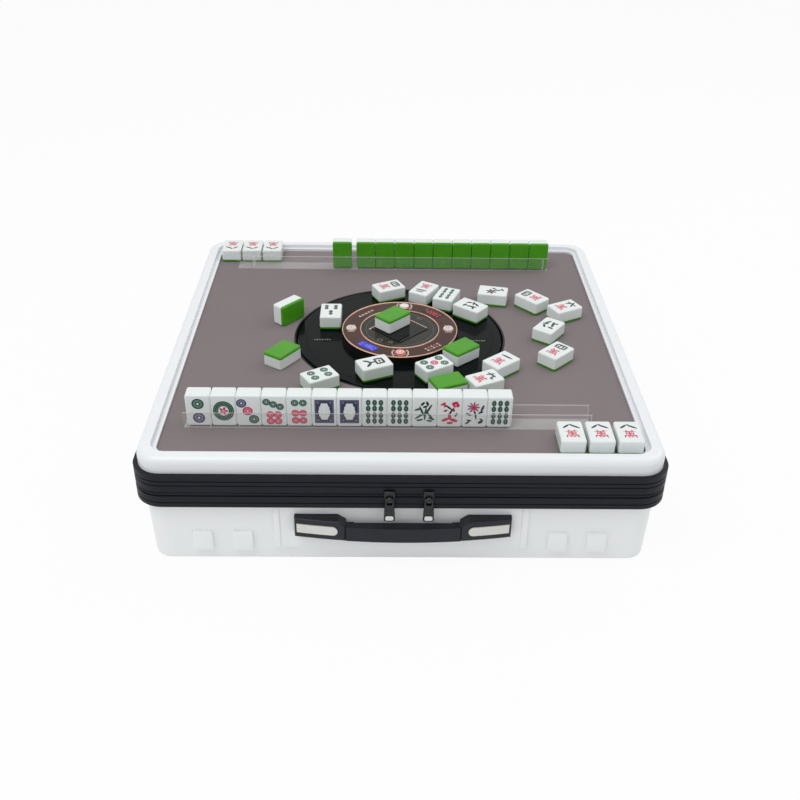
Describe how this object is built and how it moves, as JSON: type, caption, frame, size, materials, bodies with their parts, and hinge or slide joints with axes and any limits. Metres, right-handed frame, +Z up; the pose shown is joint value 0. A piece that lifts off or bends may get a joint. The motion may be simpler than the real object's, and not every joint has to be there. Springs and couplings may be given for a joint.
{
  "type": "portable automatic tile game table",
  "caption": "Portable automatic tile-game table built into a zipped suitcase shell, with a lifting centre console, a shuffling turntable, two tile racks and scattered tiles",
  "frame": {"origin": "centre of the case, in the plane under its rubber feet", "axes": "+X to the right of the player at the handle, +Y away from that player to the hinged back, +Z up out of the playing surface"},
  "size_m": [0.537, 0.5552, 0.1643],
  "materials": {
    "shell_white": "smooth moulded shell",
    "band_black": "dark navy black trim",
    "rubber_dark": "soft",
    "handle_dark": "dark navy black",
    "silver_plate": "satin",
    "steel": "plain",
    "bright_steel": "ground",
    "zip_metal": "black",
    "inner_plastic": "grey moulding",
    "black_plastic": "fine grain",
    "motor_metal": "dark can",
    "board_green": "circuit board",
    "cable_black": "sheath",
    "board_wood": "fibreboard",
    "mat_grey": "short pile, taupe grey",
    "disc_black": "polished",
    "console_bronze": "dark bronze",
    "rose_ring": "rose gold",
    "dial_black": "dark glass",
    "window_clear": "clear",
    "display_dark": "lit figures behind",
    "button_white": "smooth",
    "button_pink": "smooth",
    "tile_white": "polished melamine",
    "tile_green": "polished melamine",
    "rack_clear": "clear acrylic"
  },
  "bodies": {
    "case": {"lower_shell": "shell_white", "lower_band": "band_black", "rubber_feet": "rubber_dark", "handle_ends": "handle_dark", "handle_inserts": "silver_plate", "chassis_plate": "steel", "chassis_screws": "steel", "drum_bowl": "inner_plastic", "hub_post": "bright_steel", "turntable_bearing": "bright_steel", "drive_motor": "motor_metal", "motor_bracket": "steel", "drive_belt": "rubber_dark", "lift_motor": "motor_metal", "control_board": "board_green", "power_supply": "black_plastic", "power_inlet": "black_plastic", "wiring_loom": "cable_black", "case_hinge_leaves": "steel"},
    "deck": {"rim_frame": "shell_white", "deck_board": "board_wood", "table_mat": "mat_grey", "well_ring": "black_plastic", "upper_band": "band_black", "deck_screws": "steel", "deck_hinge_leaves": "steel", "mat_tiles": "tile_white", "mat_backs": "tile_green"},
    "lift": {"lift_tube": "bright_steel", "disc_carrier": "inner_plastic", "disc_rim": "disc_black", "lift_disc": "disc_black", "console_housing": "console_bronze", "console_bezels": "rose_ring", "dial_glass": "dial_black", "dice_window": "window_clear", "led_displays": "display_dark", "console_board": "board_green", "disc_tiles": "tile_white", "disc_backs": "tile_green"},
    "front_key": {"front_button": "button_pink"},
    "back_key": {"back_button": "button_pink"},
    "left_key": {"left_button": "button_white"},
    "right_key": {"right_button": "button_white"},
    "turntable": {"turntable_plate": "inner_plastic", "turntable_hub": "black_plastic"},
    "motor_rotor": {"motor_pulley": "bright_steel"},
    "lift_spindle": {"lift_screw": "bright_steel"},
    "left_slider": {"left_zip_slider": "zip_metal"},
    "right_slider": {"right_zip_slider": "zip_metal"},
    "left_pull": {"left_zip_pull": "zip_metal"},
    "right_pull": {"right_zip_pull": "zip_metal"},
    "grip": {"handle_strap": "handle_dark"},
    "rocker": {"power_rocker": "black_plastic"},
    "front_rack_set": {"front_rack": "rack_clear", "front_row_tiles": "tile_white", "front_row_backs": "tile_green"},
    "rear_rack_set": {"rear_rack": "rack_clear", "rear_row_tiles": "tile_white", "rear_row_backs": "tile_green"}
  },
  "joints": [
    {"name": "deck_hinge", "type": "hinge", "parent": "case", "child": "deck", "pos_m": [0, 0.273, 0.094], "axis": [-1, 0, 0], "range_deg": [0, 75]},
    {"name": "centre_lift", "type": "slide", "parent": "case", "child": "lift", "axis": [0, 0, 1], "range_m": [0, 0.04]},
    {"name": "lift_screw_turn", "type": "hinge", "parent": "case", "child": "lift_spindle", "pos_m": [0, 0, 0.05], "axis": [0, 0, 1], "range_deg": [-1801, 0]},
    {"name": "turntable_spin", "type": "hinge", "parent": "case", "child": "turntable", "pos_m": [0, 0, 0.04], "axis": [0, 0, 1], "continuous": true},
    {"name": "motor_spin", "type": "hinge", "parent": "case", "child": "motor_rotor", "pos_m": [-0.15203, -0.15203, 0.03], "axis": [0, 0, 1], "continuous": true},
    {"name": "front_press", "type": "slide", "parent": "lift", "child": "front_key", "axis": [0, 0, -1], "range_m": [0, 0.001], "stiffness_N_per_m": 900, "springref_m": -0.0005},
    {"name": "back_press", "type": "slide", "parent": "lift", "child": "back_key", "axis": [0, 0, -1], "range_m": [0, 0.001], "stiffness_N_per_m": 900, "springref_m": -0.0005},
    {"name": "left_press", "type": "slide", "parent": "lift", "child": "left_key", "axis": [0, 0, -1], "range_m": [0, 0.001], "stiffness_N_per_m": 900, "springref_m": -0.0005},
    {"name": "right_press", "type": "slide", "parent": "lift", "child": "right_key", "axis": [0, 0, -1], "range_m": [0, 0.001], "stiffness_N_per_m": 900, "springref_m": -0.0005},
    {"name": "left_zip_run", "type": "slide", "parent": "case", "child": "left_slider", "axis": [-1, 0, 0], "range_m": [0, 0.19]},
    {"name": "left_zip_swing", "type": "hinge", "parent": "left_slider", "child": "left_pull", "pos_m": [-0.012, -0.2738, 0.0925], "axis": [-1, 0, 0], "range_deg": [0, 150]},
    {"name": "right_zip_run", "type": "slide", "parent": "case", "child": "right_slider", "axis": [1, 0, 0], "range_m": [0, 0.175]},
    {"name": "right_zip_swing", "type": "hinge", "parent": "right_slider", "child": "right_pull", "pos_m": [0.027, -0.2738, 0.0925], "axis": [-1, 0, 0], "range_deg": [0, 150]},
    {"name": "grip_pull", "type": "slide", "parent": "case", "child": "grip", "axis": [0, -1, 0], "range_m": [0, 0.006]},
    {"name": "power_switch", "type": "hinge", "parent": "case", "child": "rocker", "pos_m": [0.186, 0.2605, 0.038], "axis": [1, 0, 0], "range_deg": [0, 13]},
    {"name": "front_rack_lift", "type": "slide", "parent": "deck", "child": "front_rack_set", "axis": [0, 0, 1], "range_m": [0, 0.15]},
    {"name": "rear_rack_lift", "type": "slide", "parent": "deck", "child": "rear_rack_set", "axis": [0, 0, 1], "range_m": [0, 0.15]}
  ],
  "couplings": [
    {"joint": "lift_screw_turn", "follows": "centre_lift", "rad_per_m": -785.4},
    {"joint": "motor_spin", "follows": "turntable_spin", "ratio": 4.5}
  ]
}
